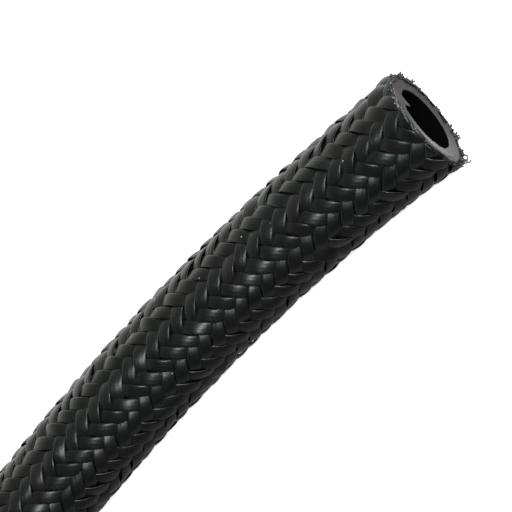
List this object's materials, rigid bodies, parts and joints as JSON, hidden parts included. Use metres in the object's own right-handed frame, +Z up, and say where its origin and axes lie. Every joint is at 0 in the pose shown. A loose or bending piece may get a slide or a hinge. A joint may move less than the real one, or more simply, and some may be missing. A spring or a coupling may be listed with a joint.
{
  "type": "nylon hose",
  "caption": "A cut length of flexible hose: a black rubber tube with an open bore inside a woven black nylon braid, lying flat in a gentle arc with both ends cut square",
  "frame": {"origin": "under the middle of the bounding box, on the level surface that the hose lies on", "axes": "+Z up, +X along the chord between the two cut ends, +Y towards the bulge of the arc"},
  "size_m": [0.2962, 0.0606, 0.0172],
  "materials": {
    "rubber": "dull, with a dark grey cut face",
    "nylon_braid": "woven multifilament yarn with a soft sheen"
  },
  "bodies": {
    "root": {"rubber_tube": "rubber", "nylon_braid": "nylon_braid"}
  },
  "joints": []
}
